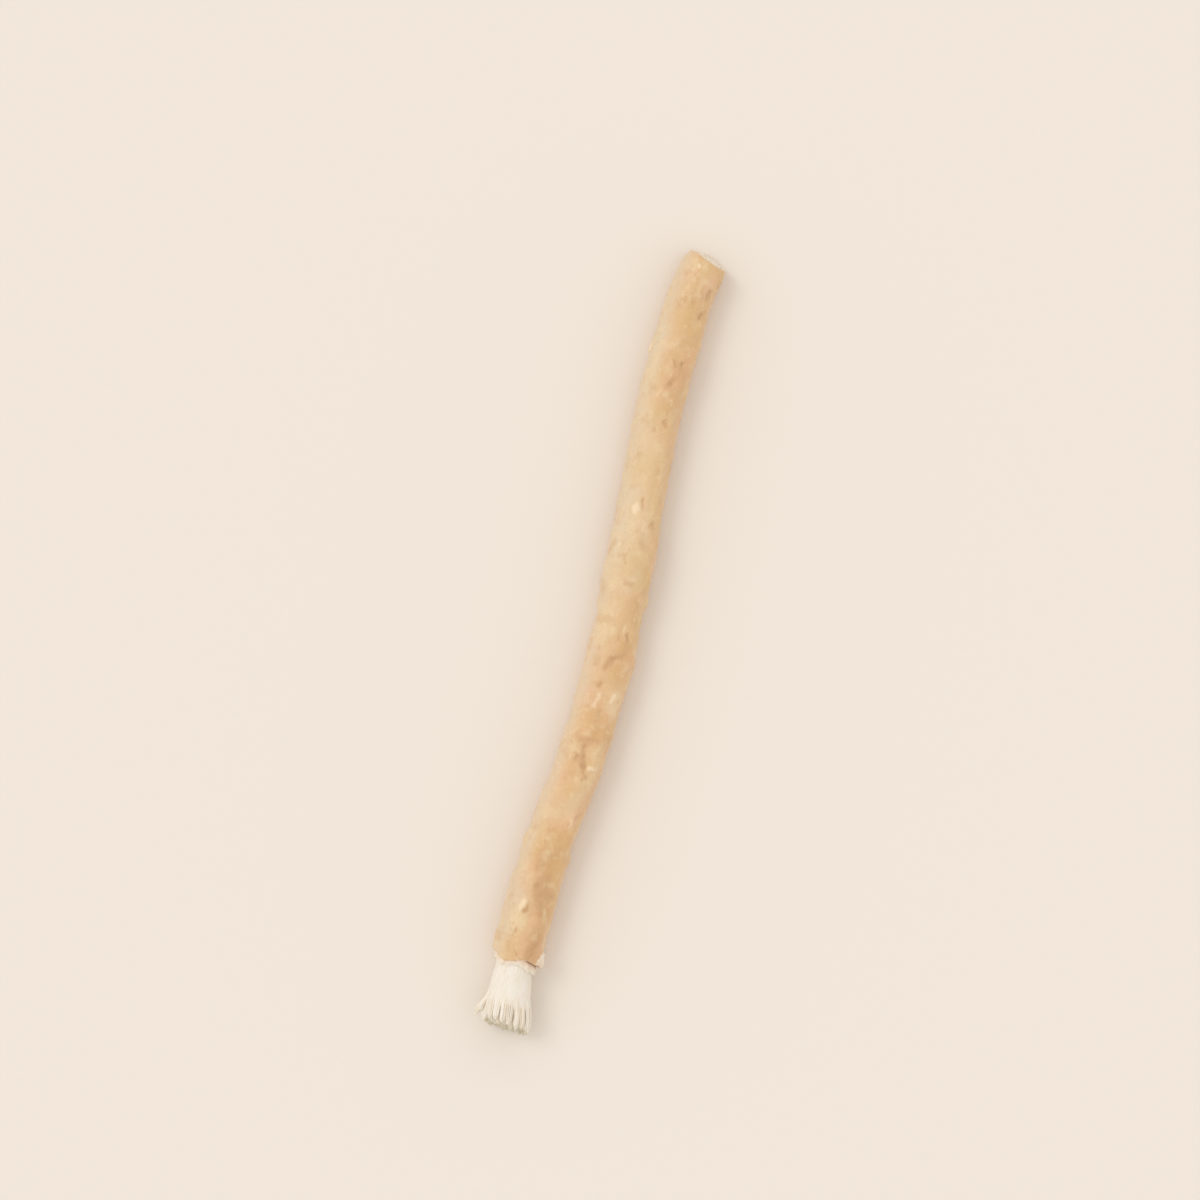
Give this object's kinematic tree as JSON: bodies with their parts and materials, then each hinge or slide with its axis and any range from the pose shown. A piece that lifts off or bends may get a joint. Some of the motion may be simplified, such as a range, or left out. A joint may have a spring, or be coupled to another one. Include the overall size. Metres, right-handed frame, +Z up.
{
  "type": "miswak stick",
  "caption": "Miswak chewing stick: a slightly crooked length of root in tan bark, peeled at one end where the cream wood is split into a brush, cut off with a knife at the other.",
  "frame": {"origin": "under the middle of the stick, on the surface it lies on: centre of its bounding box in X and Y, and its lowest points in Z", "axes": "+X along the stick from its brush towards its cut end, +Z up from the surface it lies on, +Y across it"},
  "size_m": [0.1501, 0.0134, 0.0099],
  "materials": {
    "bark": "matte",
    "wood": "matte"
  },
  "bodies": {
    "root": {"bark": "bark", "wood": "wood"}
  },
  "joints": []
}
